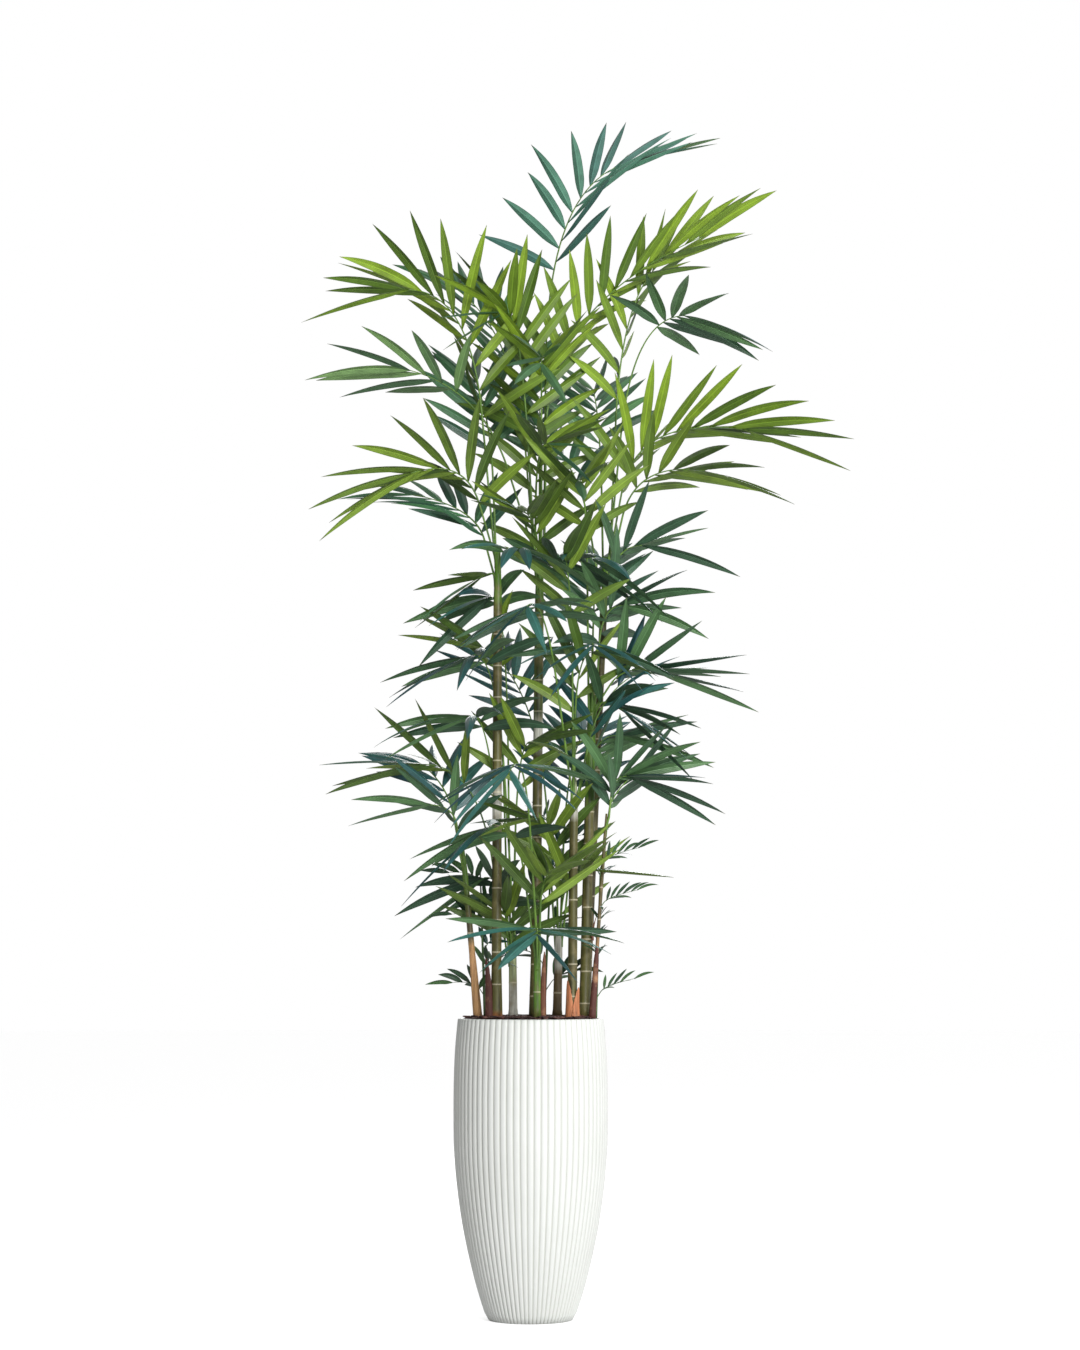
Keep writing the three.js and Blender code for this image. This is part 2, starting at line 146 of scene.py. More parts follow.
# %% Tools for materials
def shade(red, green, blue):
    """A colour read from a screen, 0 to 255, as the linear colour that a shader takes."""
    def linear(value):
        value /= 255
        return value / 12.92 if value <= 0.04045 else ((value + 0.055) / 1.055) ** 2.4
    return (linear(red), linear(green), linear(blue), 1)


def node(tree, kind, inputs=None, output=0, **settings):
    """Adds a shader node and returns one of its outputs. inputs gives the node's sockets their
    values, or the outputs that feed them."""
    made = tree.nodes.new("ShaderNode" + kind)
    for key, value in settings.items():
        setattr(made, key, value)
    for socket, value in (inputs or {}).items():
        if isinstance(value, bpy.types.NodeSocket):
            tree.links.new(value, made.inputs[socket])
        else:
            made.inputs[socket].default_value = value
    return made.outputs[output]


def mixed(tree, first, second, source, low=0, high=1):
    """A mix that is all the first where the source is at low, and all the second at high."""
    share = node(tree, "MapRange", {0: source, 1: low, 2: high}, clamp=True)
    return node(tree, "Mix", {0: share, 6: first, 7: second}, 2, data_type="RGBA")


def attribute(tree, name, output="Fac"):
    """The values that a piece's vertices were given under a name."""
    return node(tree, "Attribute", output=output, attribute_name=name)


def noise(tree, scale, detail, stretch=(1, 1, 1)):
    """A noise all through the object, drawn out along the axes whose stretch is small."""
    place = node(tree, "TexCoord", output="Object")
    stretched = node(tree, "Mapping", {"Vector": place, "Scale": stretch})
    inputs = {"Vector": stretched, "Scale": scale, "Detail": detail}
    return node(tree, "TexNoise", inputs, "Fac")


def new_material(name, roughness):
    """A material, its node tree and its shader's inputs."""
    material = bpy.data.materials.new(name)
    material.use_nodes = True
    tree = material.node_tree
    inputs = tree.nodes["Principled BSDF"].inputs
    inputs["Roughness"].default_value = roughness
    return material, tree, inputs


def coated(name, colour_of, roughness, strength, distance, **colours):
    """A material. colour_of adds its nodes and returns its colour and the height of its relief."""
    material, tree, inputs = new_material(name, roughness)
    colour, height = colour_of(tree, **colours)
    relief = {"Height": height, "Strength": strength, "Distance": distance}
    tree.links.new(colour, inputs["Base Color"])
    tree.links.new(node(tree, "Bump", relief), inputs["Normal"])
    return material


# %% [markdown]
# ## Floor and light
#
# The palm stands in a white studio. The sky looks fully white to the camera, but lights the plant
# with less, so that the leaves keep their depth. It gives more light from the right, and a large
# soft light stands in front there too. So the pot's left edge is in shade, where its reeds show
# best. A weaker light behind the plant keeps its back from getting grey. The floor glows for the
# camera, as white as the sky, and hardly lights the plant.

# %% Floor and light
FLOOR_RADIUS = 30
FLOOR_SIDES = 96
FLOOR_GREY = (0.7, 0.7, 0.7, 1)
FLOOR_GLOW = 0.62
FLOOR_GLOW_ON_PLANT = 0.05
SKY_LEFT = 0.04
SKY_RIGHT = 0.98
LIGHTS = {"key_light": ((2.3, -5.8, 3.2), 340), "back_light": ((0.4, 6, 2.6), 130)}
LIGHT_SIZE = 2.4
LIGHT_AIM = (0, 0, 1.3)
WHITE = (1, 1, 1, 1)


def glow_strength(tree, on_plant, in_picture):
    """The strength of a glow: one for its light on the plant, another for the camera."""
    seen = node(tree, "LightPath", output="Is Camera Ray")
    return node(tree, "MapRange", {0: seen, 3: on_plant, 4: in_picture})


def studio_floor():
    bm = bmesh.new()
    bmesh.ops.create_circle(bm, cap_ends=True, segments=FLOOR_SIDES, radius=FLOOR_RADIUS)
    paint, tree, inputs = new_material("floor_paint", roughness=0.9)
    inputs["Base Color"].default_value = FLOOR_GREY
    inputs["Emission Color"].default_value = WHITE
    glow = glow_strength(tree, FLOOR_GLOW_ON_PLANT, FLOOR_GLOW)
    tree.links.new(glow, inputs["Emission Strength"])
    floor = new_object("studio_floor", mesh_of("studio_floor", bm))
    floor.data.materials.append(paint)
    return floor


def studio_sky():
    world = bpy.data.worlds.new("studio_sky")
    world.use_nodes = True
    tree = world.node_tree
    to_right = node(tree, "SeparateXYZ", {0: node(tree, "TexCoord", output="Generated")})
    light = node(tree, "MapRange", {0: to_right, 1: -1, 3: SKY_LEFT, 4: SKY_RIGHT})
    inputs = tree.nodes["Background"].inputs
    inputs["Color"].default_value = WHITE
    tree.links.new(glow_strength(tree, light, 1), inputs["Strength"])
    return world


def soft_light(name, place, power):
    light = new_object(name, bpy.data.lights.new(name, "AREA"))
    light.data.size = LIGHT_SIZE
    light.data.energy = power
    light.location = place
    toward = Vector(LIGHT_AIM) - Vector(place)
    light.rotation_euler = toward.to_track_quat("-Z", "Y").to_euler()


studio_floor()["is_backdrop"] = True
bpy.context.scene.world = studio_sky()
bpy.context.scene.view_settings.view_transform = "Standard"
for name, (place, power) in LIGHTS.items():
    soft_light(name, place, power)
print("studio with", len(LIGHTS), "lights")

# %% [markdown]
# ## The reeded pot
#
# The real pot is cast in one mould with seventy upright half-round reeds. Seventy bent rods would
# need their ends trimmed. Instead one profile of the wall, from the underside's middle up the
# outside, over the rim and down inside, is spun round the axis, and the outer skin is then pressed
# in between the reeds.

# %% Sizes of the pot and its wall
POT_HEIGHT = 0.67
POT_OUTLINE = [(0.094, 0), (0.104, 0.018), (0.129, 0.1), (0.155, 0.22), (0.171, 0.35),
               (0.174, 0.48), (0.1715, 0.59), (0.165, POT_HEIGHT)]
REEDS = 70
GROOVE_DEPTH = 0.003
POT_WALL = 0.009
POINTS_PER_REED = 8
WALL_LEVELS = 40
INNER_DEPTH = 0.02
RIM_ROUNDING = 0.0015
FOOT_RING_SHARE = 0.6
SOIL_TOP = POT_HEIGHT
TOLERANCE = 1e-9


def outline_radius(height):
    """The pot's outer radius at a height, on a smooth curve through its outline's points."""
    reached = [i for i, (_, level) in enumerate(POT_OUTLINE) if level >= height - TOLERANCE]
    above = max(1, reached[0])
    points = [POT_OUTLINE[min(len(POT_OUTLINE) - 1, max(0, above + i))] for i in (-2, -1, 0, 1)]
    (r0, z0), (r1, z1), (r2, z2), (r3, z3) = points
    span = z2 - z1
    share = (height - z1) / span
    rise_low = span * (r2 - r0) / (z2 - z0)
    rise_high = span * (r3 - r1) / (z3 - z1)
    cube, square = share ** 3, share ** 2
    radius = (2 * cube - 3 * square + 1) * r1 + (cube - 2 * square + share) * rise_low
    return radius + (3 * square - 2 * cube) * r2 + (cube - square) * rise_high


def wall_profile():
    """The points of half a section of the pot, from the underside's middle to the soil's."""
    levels = [POT_HEIGHT * i / WALL_LEVELS for i in range(WALL_LEVELS)]
    outside = [(outline_radius(z), z) for z in levels]
    rim_outer = outline_radius(POT_HEIGHT)
    rim_inner = rim_outer - GROOVE_DEPTH - POT_WALL
    rim = [
        (rim_outer, POT_HEIGHT - 2 * RIM_ROUNDING),
        (rim_outer - RIM_ROUNDING, POT_HEIGHT - RIM_ROUNDING / 3),
        (rim_outer - GROOVE_DEPTH - RIM_ROUNDING, POT_HEIGHT),
        (rim_inner + RIM_ROUNDING, POT_HEIGHT),
        (rim_inner, POT_HEIGHT - RIM_ROUNDING),
    ]
    inside = [(rim_inner, POT_HEIGHT - INNER_DEPTH), (0, POT_HEIGHT - INNER_DEPTH)]
    underside = [(0, 0), (outside[0][0] * FOOT_RING_SHARE, 0)]
    return underside + outside + rim + inside


def reed_inset(angle):
    """How far the skin is pressed in at an angle: nothing on a reed's crest, all in a groove."""
    across = (angle / (2 * pi / REEDS) + 0.5) % 1 - 0.5
    return GROOVE_DEPTH * (1 - sqrt(max(0, 1 - (2 * across) ** 2)))


# %% The pot's mesh
MERGE_WITHIN = 1e-6
FOOT_MARGIN = 1e-4


def spun_wall():
    bm = bmesh.new()
    profile = [bm.verts.new((0, -radius, height)) for radius, height in wall_profile()]
    edges = [bm.edges.new(pair) for pair in zip(profile, profile[1:])]
    bmesh.ops.spin(
        bm, geom=profile + edges, cent=(0, 0, 0), axis=(0, 0, 1), angle=2 * pi,
        steps=REEDS * POINTS_PER_REED, use_merge=True,
    )
    bmesh.ops.remove_doubles(bm, verts=bm.verts, dist=MERGE_WITHIN)
    bmesh.ops.recalc_face_normals(bm, faces=bm.faces)
    return bm


def press_reeds(bm):
    grooves = bm.verts.layers.float.new("groove")
    foot_radius = outline_radius(0)
    for vert in bm.verts:
        x, y, z = vert.co
        radius = hypot(x, y)
        is_skin = radius > outline_radius(min(z, POT_HEIGHT)) - 2 * RIM_ROUNDING
        if radius < foot_radius - FOOT_MARGIN or not is_skin:
            continue
        inset = reed_inset(atan2(y, x) + pi / 2)
        vert[grooves] = inset / GROOVE_DEPTH
        vert.co *= (radius - inset) / radius
        vert.co.z = z


pot_bm = spun_wall()
press_reeds(pot_bm)
smooth_faces(pot_bm)
print("the pot has", REEDS, "reeds and", len(pot_bm.faces), "faces")

# %% [markdown]
# ## The pot's finish
#
# The pot is fibre and resin with a matt white coat, a little rough to the touch: one warm white
# with the faintest clouds, a painted grey shade in the grooves, and a fine grain. The painted shade
# follows the groove value that each vertex was given when the reeds were pressed.

# %% The pot's coat
def pot_colour(tree):
    white = mixed(tree, shade(229, 231, 228), shade(222, 224, 220), noise(tree, 6, 4), 0.3, 0.7)
    # The grooves get a darker grey: painted shade in the hollows between the reeds.
    groove_shaded = mixed(tree, white, shade(190, 192, 182), attribute(tree, "groove"), 0.15, 1.2)
    return groove_shaded, noise(tree, 260, 5)


pot_coat = coated("pot_coat", pot_colour, roughness=0.52, strength=0.12, distance=0.0006)
pot = finished_piece("reeded_pot", pot_bm, [pot_coat], ["pot"])

# %% [markdown]
# ## Bark on the soil
#
# The filling's solid has the right shape and stays, in the dark colour of potting mix. On it lies
# a layer of bark chips, which hides the canes' sockets. Each chip is a bevelled slab, turned,
# tipped, sized and toned at random, and all are one mesh.

# %% Soil and chips
CHIPS = 520
CHIP_SIZES = {"length": (0.012, 0.03), "width": (0.007, 0.014), "thickness": (0.002, 0.004)}
CHIP_BEVEL = 0.16
CHIP_SPREAD = 0.143
CHIP_LIFT = 0.001
CHIP_TOP = 0.008
CHIP_TIP = 0.3
CHIP_SEED = 7


def chip_template():
    bm = bmesh.new()
    bmesh.ops.create_cube(bm, size=1)
    bmesh.ops.bevel(
        bm, geom=bm.edges[:], offset=CHIP_BEVEL, offset_type="OFFSET", segments=1, profile=0.5,
        affect="EDGES", material=-1,
    )
    return mesh_of("chip", bm)


def scattered_chips():
    bm = bmesh.new()
    tones = bm.verts.layers.float.new("tone")
    chip = chip_template()
    draw = random.Random(CHIP_SEED)
    for _ in range(CHIPS):
        length, width, thickness = (draw.uniform(*limits) for limits in CHIP_SIZES.values())
        reach = CHIP_SPREAD * sqrt(draw.random())
        angle = draw.uniform(0, 2 * pi)
        tip = draw.uniform(-CHIP_TIP, CHIP_TIP)
        turn = Matrix.Rotation(draw.uniform(0, 2 * pi), 3, "Z") @ Matrix.Rotation(tip, 3, "Y")
        highest = CHIP_TOP - thickness / 2 - length / 2 * abs(sin(tip))
        lift = draw.uniform(CHIP_LIFT, highest)
        centre = Vector((reach * cos(angle), reach * sin(angle), SOIL_TOP + lift))
        tone = draw.random()
        stretch = Matrix.Diagonal((length, width, thickness))
        for vert in add_copy(bm, chip, lambda co: centre + turn @ (stretch @ co)):
            vert[tones] = tone
    return bm


def bark_colour(tree):
    grain = noise(tree, 90, 4)
    red = mixed(tree, shade(54, 36, 36), shade(116, 76, 68), attribute(tree, "tone"))
    return mixed(tree, red, shade(40, 27, 28), grain, 0.35, 0.75), grain


bark = coated("bark", bark_colour, roughness=0.85, strength=0.5, distance=0.001)
soil_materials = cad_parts["soil"].data.materials
soil_materials.clear()
soil_materials.append(bark)
finished_piece("bark_chips", scattered_chips(), [bark])

# %% [markdown]
# ## The plan of the plant
#
# Each cane is given by its foot, its tip and its thickness, and by the heights at which its skin
# changes colour: old canes are olive brown with pale scars, and young ones are still green. Each
# frond is given by the way it faces and by how far it rises, leans out, arches and dips, as in the
# solids, so that each rib grows where its solid stands. One that names no colour set and no habit
# has the usual ones. Young fronds have their feet inside the cane, and their solids are fused to
# it. The seedlings carry some more small fronds than their solids do, in the room between those.

# %% The canes and their fronds
USUAL = ("forest", "fan")
Frond = namedtuple("Frond", "heading rise lean reach dip leaf pairs finish habit", defaults=USUAL)
Cane = namedtuple("Cane", "foot tip radius first_scar skin fronds young", defaults=[[]])

CANES = {}
CANES["left_cane"] = Cane(
    foot=(-0.077, -0.045), tip=(-0.075, -0.038, 1.743), radius=0.0115, first_scar=0.077,
    skin=[(0, "rust"), (0.015, "olive"), (0.42, "olive"), (0.455, "ash"), (0.49, "ash"),
          (0.53, "olive"), (0.93, "olive"), (0.955, "leaf")],
    fronds=[
        (205, 0.6, 0.06, 0.22, 0.02, 0.25, 8, "spring", "plume"),
        (195, 0.23, 0.07, 0.2, 0.05, 0.255, 7),
        (305, 0.03, 0.02, 0.09, 0.01, 0.2, 4, "sea", "hand"),
        (110, 0.36, 0.04, 0.15, -0.1, 0.21, 6),
        (150, 0.16, 0.05, 0.22, -0.04, 0.21, 6),
    ],
    young=[(215, 0.02, 0.02, 0.07, 0.03, 0.2, 3)],
)
CANES["middle_cane"] = Cane(
    foot=(0.01, 0.025), tip=(0.021, 0.02, 1.761), radius=0.012, first_scar=0.05,
    skin=[(0, "olive"), (0.34, "olive"), (0.36, "ash"), (0.38, "olive"), (0.6, "olive"),
          (0.62, "ash"), (0.67, "ash"), (0.7, "moss"), (0.95, "moss"), (0.98, "leaf")],
    fronds=[
        (25, 0.85, 0.01, 0.22, -0.075, 0.25, 9, "crown", "crest"),
        (345, 0.575, 0.01, 0.38, -0.14, 0.22, 10, "spring", "plume"),
        (200, 0.385, 0.13, 0.31, -0.03, 0.23, 4, "crown", "fan"),
        (270, 0.53, 0.02, 0.21, 0.11, 0.21, 9, "spring", "plume"),
        (285, 0.32, 0.02, 0.15, 0.06, 0.21, 7),
        (140, 0.58, 0.06, 0.25, -0.13, 0.21, 8, "spring", "plume"),
        (90, 0.34, 0.06, 0.26, -0.13, 0.21, 6),
        (240, 0.65, 0.08, 0.15, 0.04, 0.22, 8, "spring", "plume"),
    ],
    young=[
        (255, 0.17, 0.02, 0.14, 0, 0.21, 6),
        (320, 0.1, 0.02, 0.16, 0.02, 0.21, 5, "sea", "hand"),
    ],
)
CANES["right_cane"] = Cane(
    foot=(0.124, 0.034), tip=(0.173, 0.04, 1.727), radius=0.01, first_scar=0.06,
    skin=[(0, "wood"), (0.5, "olive"), (0.9, "olive"), (0.94, "leaf")],
    fronds=[
        (355, 0.65, 0.03, 0.14, -0.06, 0.21, 8, "spring", "plume"),
        (325, 0.58, 0.07, 0.215, 0.02, 0.21, 4, "sea", "star"),
        (345, 0.37, 0.07, 0.33, 0.05, 0.25, 9, "spring", "plume"),
        (330, 0.27, 0.07, 0.25, 0.04, 0.24, 5),
        (350, 0.09, 0.03, 0.08, 0, 0.22, 4, "sea", "fan"),
        (150, 0.32, 0.06, 0.2, -0.1, 0.21, 6),
        (95, 0.43, 0.06, 0.22, -0.1, 0.21, 6, "spring", "fan"),
    ],
)
CANES["olive_cane"] = Cane(
    foot=(0.121, -0.022), tip=(0.14, -0.014, 1.415), radius=0.0125, first_scar=0.034,
    skin=[(0, "olive"), (0.46, "olive"), (0.5, "leaf")],
    fronds=[
        (350, 0.2, 0.01, 0.06, 0, 0.22, 5, "sea", "star"),
        (270, 0.14, 0.02, 0.13, 0.03, 0.22, 4, "sea", "hand"),
        (350, 0.09, 0.06, 0.13, 0.01, 0.24, 6, "sea", "crest"),
        (330, 0.03, 0.02, 0.07, 0.03, 0.23, 4, "sea", "fan"),
        (260, 0.56, 0.03, 0.15, 0.04, 0.21, 6),
        (85, 0.32, 0.06, 0.22, -0.09, 0.21, 7),
    ],
)
CANES["sheathed_cane"] = Cane(
    foot=(0.093, -0.06), tip=(0.098, -0.056, 1.21), radius=0.011, first_scar=0.05,
    skin=[(0, "rust"), (0.03, "olive"), (0.44, "olive"), (0.465, "ash"), (0.53, "lime")],
    fronds=[
        (260, 0.46, 0.02, 0.12, -0.04, 0.2, 5),
        (250, 0.43, 0.18, 0.29, 0.05, 0.215, 5, "sea", "hand"),
        (20, 0.22, 0.05, 0.13, -0.05, 0.2, 5, "sea", "fan"),
    ],
    young=[(300, 0.33, 0.01, 0.08, 0, 0.22, 5)],
)
CANES["pale_shoot"] = Cane(
    foot=(-0.04, 0.042), tip=(-0.042, 0.044, 0.88), radius=0.01, first_scar=0.08,
    skin=[(0, "ash"), (0.075, "ash"), (0.085, "lime"), (0.17, "lime"), (0.2, "leaf")],
    fronds=[
        (200, 0.78, 0.01, 0.05, 0.02, 0.2, 4, "sea", "hand"),
        (230, 0.65, 0.06, 0.145, 0.02, 0.22, 4, "sea", "hand"),
        (195, 0.66, 0.02, 0.06, -0.01, 0.2, 4),
        (235, 0.53, 0.08, 0.14, 0.01, 0.23, 4, "sea", "hand"),
        (190, 0.43, 0.07, 0.19, 0, 0.24, 4),
    ],
    young=[
        (290, 0.5, 0.03, 0.12, 0.01, 0.2, 5),
        (200, 0.21, 0.03, 0.07, 0.01, 0.21, 4, "sea", "hand"),
        (250, 0.13, 0.02, 0.08, -0.01, 0.21, 5),
    ],
)
CANES["brown_cane"] = Cane(
    foot=(0.06, 0.03), tip=(0.064, 0.032, 0.869), radius=0.0105, first_scar=0.057,
    skin=[(0, "wood"), (0.1, "wood"), (0.112, "ash"), (0.185, "ash"), (0.199, "lime")],
    fronds=[
        (340, 0.45, 0.05, 0.13, 0, 0.22, 5, "sea", "fan"),
        (75, 0.41, 0.06, 0.22, -0.08, 0.215, 6, "sea", "fan"),
        (125, 0.57, 0.06, 0.24, -0.11, 0.21, 6, "sea", "fan"),
    ],
    young=[
        (250, 0.3, 0.02, 0.14, 0, 0.21, 6),
        (310, 0.2, 0.02, 0.1, 0, 0.22, 6, "forest", "crest"),
    ],
)
CANES["green_shoot"] = Cane(
    foot=(0.014, -0.078), tip=(0.015, -0.08, 0.858), radius=0.0085, first_scar=0.06,
    skin=[(0, "moss"), (0.05, "leaf")],
    fronds=[
        (262, 0.43, 0.19, 0.4, 0.08, 0.21, 5, "sea", "hand"),
        (220, 0.29, 0.05, 0.13, 0.03, 0.22, 4, "sea", "hand"),
        (280, 0.15, 0.01, 0.11, -0.02, 0.25, 6, "forest", "crest"),
        (270, 0.08, 0.02, 0.11, 0.03, 0.23, 3, "sea", "star"),
    ],
)
CANES["leaning_cane"] = Cane(
    foot=(-0.119, -0.008), tip=(-0.154, -0.012, 1.05), radius=0.0075, first_scar=0.12,
    skin=[(0, "rust"), (0.1, "tan"), (0.165, "tan"), (0.175, "wood"), (0.23, "olive"),
          (0.34, "leaf")],
    fronds=[
        (190, 0.11, 0.01, 0.07, 0, 0.19, 4, "sea", "fan"),
        (130, 0.18, 0.05, 0.16, -0.05, 0.19, 5, "sea", "fan"),
    ],
)
CANES["thin_stem"] = Cane(
    foot=(0.138, -0.052), tip=(0.171, -0.058, 1.13), radius=0.0045, first_scar=0.15,
    skin=[(0, "wine"), (0.14, "wine"), (0.17, "tan"), (0.19, "wood"), (0.4, "olive")],
    fronds=[
        (345, 0.1, 0.01, 0.05, 0.01, 0.23, 6, "sea", "fan"),
        (355, 0.07, 0.01, 0.08, -0.06, 0.18, 5, "sea", "fan"),
    ],
)

# %% The seedlings and their small fronds
Seedling = namedtuple("Seedling", "foot tip spray sprays")
SEEDLINGS = {}
SEEDLINGS["seedling_left"] = Seedling(
    foot=(-0.104, 0.038), tip=(-0.116, 0.044, 1.01),
    spray=(0.035, 0.022, 0.075, 0.005, 0.066, 4, "seedling", "spray"),
    sprays=[(0.3, 190), (0.25, 330), (0.205, 200), (0.15, 20), (0.1, 300), (0.05, 182)],
)
SEEDLINGS["seedling_right"] = Seedling(
    foot=(0.147, 0.002), tip=(0.158, -0.008, 1.01),
    spray=(0.03, 0.02, 0.09, -0.015, 0.05, 4, "seedling", "sprig"),
    sprays=[(0.34, 350), (0.3, 80), (0.245, 355), (0.2, 275), (0.16, 95), (0.12, 265),
            (0.045, 352)],
)
SEEDLINGS["seedling_back"] = Seedling(
    foot=(0.03, 0.088), tip=(0.05, 0.1, 1.11),
    spray=(0.04, 0.028, 0.075, -0.01, 0.068, 3, "seedling", "spray"),
    sprays=[(0.425, 120), (0.37, 10), (0.32, 60), (0.26, 200), (0.18, 330), (0.11, 210),
            (0.06, 345)],
)
print(len(CANES), "canes with", sum(len(cane.fronds) for cane in CANES.values()), "fronds")

# %% [markdown]
# ## A rod that can be bent
#
# Canes, ribs and stems are all rods with a round section. The template is a cone operator's
# cylinder of unit size whose upright edges are cut into steps. A strand then puts each of its
# rings on one point of a path, across the path's direction.

# %% Rods along a path
@cache
def rod_template(sides, steps):
    """A closed rod of radius 1 and height 1 with a ring of vertices at every step."""
    bm = bmesh.new()
    bmesh.ops.create_cone(bm, cap_ends=True, segments=sides, radius1=1, radius2=1, depth=1)
    bmesh.ops.translate(bm, verts=bm.verts, vec=(0, 0, 0.5))
    upright = [edge for edge in bm.edges if abs(edge.verts[0].co.z - edge.verts[1].co.z) > 0.5]
    bmesh.ops.subdivide_edges(bm, edges=upright, cuts=steps - 1, use_grid_fill=True)
    smooth_faces(bm)
    return mesh_of("rod", bm)


def add_strand(bm, points, radii, side_hint, sides, flatten=1):
    """Adds a rod through some points. flatten makes its upper half lower, as on a leaf's stalk."""
    last = len(points) - 1
    rings = []
    for i, point in enumerate(points):
        along = (points[min(last, i + 1)] - points[max(0, i - 1)]).normalized()
        side = (side_hint - along * side_hint.dot(along)).normalized()
        rings.append((point, side, along.cross(side), radii[i]))

    def place(co):
        point, side, up, radius = rings[round(co.z * last)]
        height = co.y * (flatten if co.y > 0 else 1)
        return point + side * (co.x * radius) + up * (height * radius)

    return add_copy(bm, rod_template(sides, last), place)


# %% [markdown]
# ## The canes
#
# A palm cane is smooth and ringed: every fallen leaf leaves a pale scar all round, and the skin
# swells a little there. The top of the cane is the shaft of the youngest leaves, which is green
# and has no scars. So the rod gets five rings of vertices at every scar, a colour by its height,
# and a value that is 1 on a scar.

# %% The canes' shapes
SEAT_GAP = 0.0003
CANE_SIDES = 18
CANE_TOP_SHARE = 0.84
FLARE_HEIGHT = 1 / 9
FLARE_SPREAD = 0.25
DRAWN_FROM = 0.88
DRAWN_SHARE = 0.6
SCAR_GAP = 0.072
SCAR_SWELL = 0.0006
SCAR_HEIGHT = 0.0012
SCAR_RINGS = (-2, -0.8, 0, 0.8, 2)
SCAR_CLEARANCE = 2.5
SHAFT_LENGTH = 0.16
STATION_GAP = 0.02


def cane_axis(cane, share):
    foot = Vector((*cane.foot, SOIL_TOP + SEAT_GAP))
    return foot.lerp(Vector(cane.tip), share)


def cane_height(cane):
    return cane.tip[2] - SOIL_TOP


def cane_radius(cane, share):
    """The cane's radius at a share of its height: a flare at the foot and a drawn-in top."""
    flare = FLARE_SPREAD * max(0, 1 - share / FLARE_HEIGHT)
    draw = mix(1, DRAWN_SHARE, max(0, (share - DRAWN_FROM) / (1 - DRAWN_FROM)))
    return cane.radius * (mix(1, CANE_TOP_SHARE, share) + flare) * draw


def scars_of(cane):
    """The heights above the soil of a cane's leaf scars, below its green shaft."""
    highest = cane_height(cane) - SHAFT_LENGTH
    count = max(0, int((highest - cane.first_scar) / SCAR_GAP) + 1)
    return [cane.first_scar + SCAR_GAP * i for i in range(count)]


def scar_share(height, scars):
    """1 on a scar and 0 away from it."""
    nearest = min((abs(height - scar) for scar in scars), default=1)
    return exp(-((nearest / SCAR_HEIGHT) ** 2))


def stations_of(cane, scars):
    """The heights of a cane's rings of vertices, close together at a scar."""
    steps = round(cane_height(cane) / STATION_GAP)
    even = [cane_height(cane) * i / steps for i in range(steps + 1)]
    clearance = SCAR_CLEARANCE * SCAR_HEIGHT
    clear = [z for z in even if all(abs(z - scar) > clearance for scar in scars)]
    near = [scar + SCAR_HEIGHT * ring for scar in scars for ring in SCAR_RINGS]
    return sorted(clear + near)


# %% The canes' skin colours
SKIN = {
    "olive": shade(92, 90, 42),
    "moss": shade(92, 106, 48),
    "wood": shade(104, 88, 58),
    "leaf": shade(102, 148, 52),
    "lime": shade(204, 218, 162),
    "ash": shade(212, 210, 198),
    "tan": shade(206, 160, 108),
    "rust": shade(206, 132, 90),
    "bark": shade(140, 92, 70),
    "wine": shade(92, 50, 44),
}
STREAK = (0.02, 0.015, 0.008, 1)
SCAR_FULL = 1 / 0.72


def skin_at(cane, height):
    """The skin's colour at a height, blended between its colour changes."""
    stops = cane.skin
    above = sum(level < height for level, _ in stops)
    if above in (0, len(stops)):
        return SKIN[stops[min(above, len(stops) - 1)][1]]
    (low, low_name), (high, high_name) = stops[above - 1], stops[above]
    share = (height - low) / (high - low)
    return [mix(a, b, share) for a, b in zip(SKIN[low_name], SKIN[high_name])]


def cane_colour(tree):
    streaks = noise(tree, 120, 4, stretch=(1, 1, 0.06))
    streaked = mixed(tree, attribute(tree, "skin", "Color"), STREAK, streaks, 0.42, 0.78)
    weathered = mixed(tree, streaked, shade(130, 116, 76), noise(tree, 34, 5), 0.52, 0.8)
    scarred = mixed(tree, weathered, shade(222, 212, 182), attribute(tree, "scar"), 0, SCAR_FULL)
    return scarred, streaks


# %% The canes' meshes
def cane_mesh(cane):
    bm = bmesh.new()
    skins = bm.verts.layers.float_color.new("skin")
    scar_values = bm.verts.layers.float.new("scar")
    scars = scars_of(cane)
    heights = stations_of(cane, scars)
    shares = [height / cane_height(cane) for height in heights]
    points = [cane_axis(cane, share) for share in shares]
    radii = [
        cane_radius(cane, share) + SCAR_SWELL * scar_share(height, scars)
        for share, height in zip(shares, heights)
    ]
    for vert in add_strand(bm, points, radii, Vector((1, 0, 0)), CANE_SIDES):
        height = vert.co.z - SOIL_TOP
        vert[skins] = skin_at(cane, height)
        vert[scar_values] = scar_share(height, scars)
    return bm


cane_skin = coated("cane_skin", cane_colour, roughness=0.48, strength=0.25, distance=0.0008)
for name, cane in CANES.items():
    finished_piece(name + "_skin", cane_mesh(cane), [cane_skin], [name])

# %% [markdown]
# ## Husks
#
# Dry leaf bases stand at the feet of the older canes like strips of curled bark, and young stems
# are still wrapped in theirs. Each is a grid that is rolled part of the way round an axis of its
# own beside or inside its cane, and gets narrow and ragged towards its tip. It is then given a
# thickness, so that both its faces show.

